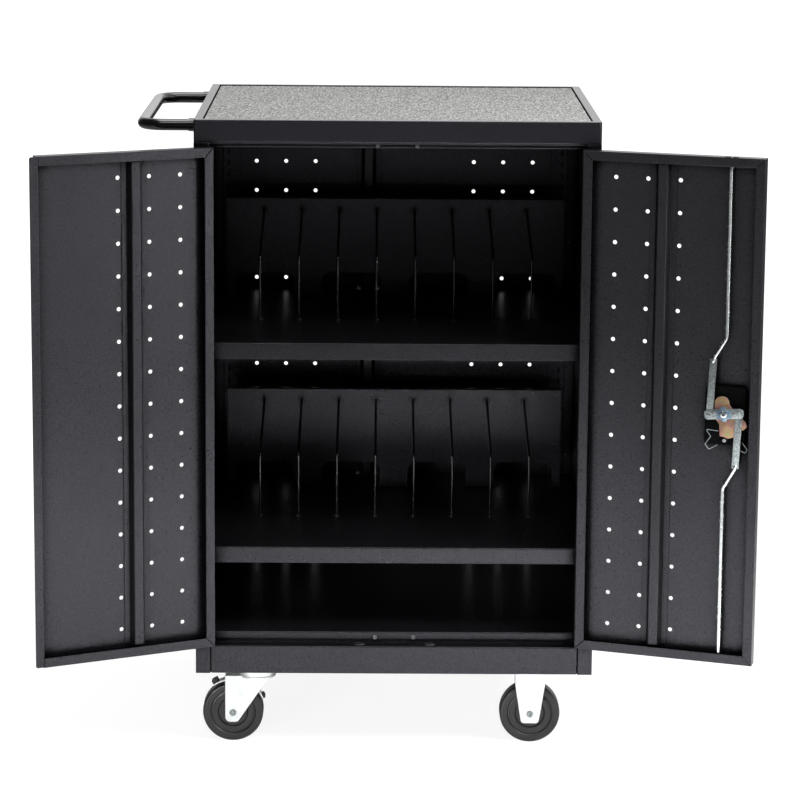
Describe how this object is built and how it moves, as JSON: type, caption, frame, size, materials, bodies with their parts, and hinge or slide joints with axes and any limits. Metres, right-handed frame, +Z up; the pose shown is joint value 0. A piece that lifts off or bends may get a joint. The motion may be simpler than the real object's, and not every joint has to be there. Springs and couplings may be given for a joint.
{
  "type": "rolling storage cart",
  "caption": "Rolling steel storage cart: a cabinet with perforated swing doors, a rod lock, shelves with wire dividers, a tray top with a mat, a side push handle and casters.",
  "frame": {"origin": "on the floor under the centre of the cabinet", "axes": "+X to the right seen from the front (the handle is on the left, -X), +Y to the back, +Z up; both doors stand open at rest"},
  "size_m": [1.1648, 0.7124, 1.06],
  "materials": {
    "black_coat": "fine textured black powder coat",
    "tray_coat": "satin black powder coat",
    "grey_mat": "speckled grey ribbed rubber",
    "gloss_black": "gloss black coating",
    "black_wire": "gloss black coated wire",
    "black_plastic": "moulded black plastic",
    "black_rubber": "matte black rubber",
    "wheel_rubber": "dark grey hard rubber",
    "bright_zinc": "bright zinc plating",
    "caster_zinc": "pale bright zinc plating",
    "yellow_zinc": "yellow chromate zinc plating",
    "dark_steel": "dark plated steel"
  },
  "bodies": {
    "cabinet": {"left_side_panel": "black_coat", "right_side_panel": "black_coat", "back_panel": "black_coat", "back_stiffener": "black_coat", "roof_panel": "black_coat", "front_header": "black_coat", "top_tray": "tray_coat", "tray_mat": "grey_mat", "floor_panel": "black_coat", "front_skirt": "black_coat", "rear_skirt": "black_coat", "caster_channels": "black_coat", "upper_shelf": "black_coat", "lower_shelf": "black_coat", "shelf_clips": "dark_steel", "slotted_uprights": "black_coat", "upper_partition": "black_coat", "lower_partition": "black_coat", "divider_bushings": "black_plastic", "upper_dividers": "black_wire", "lower_dividers": "black_wire", "divider_feet": "black_rubber", "push_handle": "gloss_black", "handle_collars": "gloss_black", "door_bumpers": "black_rubber", "cabinet_screws": "dark_steel", "hinge_post_leaves": "black_coat", "hinge_pins": "dark_steel", "caster_bolts": "dark_steel", "swivel_caster_plates": "caster_zinc", "swivel_kingpins": "dark_steel", "rigid_caster_forks": "caster_zinc", "rigid_caster_axles": "dark_steel"},
    "left_door": {"left_door_panel": "black_coat", "left_door_edges": "black_coat", "left_door_stiffener": "black_coat", "left_hinge_leaf": "black_coat"},
    "right_door": {"right_door_panel": "black_coat", "right_door_edges": "black_coat", "right_door_stiffener": "black_coat", "right_hinge_leaf": "black_coat", "lock_housing": "black_coat", "lock_escutcheon": "black_plastic", "lock_fittings": "bright_zinc"},
    "lock": {"lock_handle": "bright_zinc", "lock_cam": "yellow_zinc", "lock_crossbar": "bright_zinc", "lock_bolt": "bright_zinc"},
    "upper_rod": {"upper_lock_rod": "bright_zinc"},
    "lower_rod": {"lower_lock_rod": "bright_zinc"},
    "front_caster": {"front_swivel_fork": "caster_zinc", "front_swivel_axle": "dark_steel"},
    "rear_caster": {"rear_swivel_fork": "caster_zinc", "rear_swivel_axle": "dark_steel"},
    "front_brake": {"front_brake_pedal": "caster_zinc"},
    "rear_brake": {"rear_brake_pedal": "caster_zinc"},
    "left_front_wheel": {"left_front_wheel": "wheel_rubber"},
    "left_rear_wheel": {"left_rear_wheel": "wheel_rubber"},
    "right_front_wheel": {"right_front_wheel": "wheel_rubber"},
    "right_rear_wheel": {"right_rear_wheel": "wheel_rubber"}
  },
  "joints": [
    {"name": "left_door_hinge", "type": "hinge", "parent": "cabinet", "child": "left_door", "pos_m": [-0.3025, -0.28, 0.6], "axis": [0, 0, 1], "range_deg": [-19.8, 155.2]},
    {"name": "right_door_hinge", "type": "hinge", "parent": "cabinet", "child": "right_door", "pos_m": [0.3025, -0.28, 0.6], "axis": [0, 0, -1], "range_deg": [-13.8, 161.2]},
    {"name": "lock_turn", "type": "hinge", "parent": "right_door", "child": "lock", "pos_m": [0.52671, -0.37851, 0.6013], "axis": [0.3223, 0.9466, 0], "range_deg": [0, 90]},
    {"name": "upper_rod_pivot", "type": "hinge", "parent": "lock", "child": "upper_rod", "pos_m": [0.50459, -0.36887, 0.6013], "axis": [0.3223, 0.9466, 0], "range_deg": [-93.6, 0]},
    {"name": "lower_rod_pivot", "type": "hinge", "parent": "lock", "child": "lower_rod", "pos_m": [0.55013, -0.38437, 0.6013], "axis": [0.3223, 0.9466, 0], "range_deg": [-93.6, 0]},
    {"name": "front_caster_swivel", "type": "hinge", "parent": "cabinet", "child": "front_caster", "pos_m": [-0.231, -0.215, 0.128], "axis": [0, 0, 1], "continuous": true},
    {"name": "left_front_wheel_spin", "type": "hinge", "parent": "front_caster", "child": "left_front_wheel", "pos_m": [-0.2705, -0.215, 0.0508], "axis": [0, 1, 0], "continuous": true},
    {"name": "right_front_wheel_spin", "type": "hinge", "parent": "cabinet", "child": "right_front_wheel", "pos_m": [0.23, -0.215, 0.0508], "axis": [0, 1, 0], "continuous": true},
    {"name": "front_brake_press", "type": "hinge", "parent": "front_caster", "child": "front_brake", "pos_m": [-0.2405, -0.215, 0.1058], "axis": [0, -1, 0], "range_deg": [0, 2.2]},
    {"name": "rear_caster_swivel", "type": "hinge", "parent": "cabinet", "child": "rear_caster", "pos_m": [-0.231, 0.215, 0.128], "axis": [0, 0, 1], "continuous": true},
    {"name": "left_rear_wheel_spin", "type": "hinge", "parent": "rear_caster", "child": "left_rear_wheel", "pos_m": [-0.2705, 0.215, 0.0508], "axis": [0, 1, 0], "continuous": true},
    {"name": "right_rear_wheel_spin", "type": "hinge", "parent": "cabinet", "child": "right_rear_wheel", "pos_m": [0.23, 0.215, 0.0508], "axis": [0, 1, 0], "continuous": true},
    {"name": "rear_brake_press", "type": "hinge", "parent": "rear_caster", "child": "rear_brake", "pos_m": [-0.2405, 0.215, 0.1058], "axis": [0, -1, 0], "range_deg": [0, 2.2]}
  ],
  "couplings": [
    {"joint": "upper_rod_pivot", "follows": "lock_turn", "ratio": -1.0368},
    {"joint": "lower_rod_pivot", "follows": "lock_turn", "ratio": -1.0381}
  ]
}
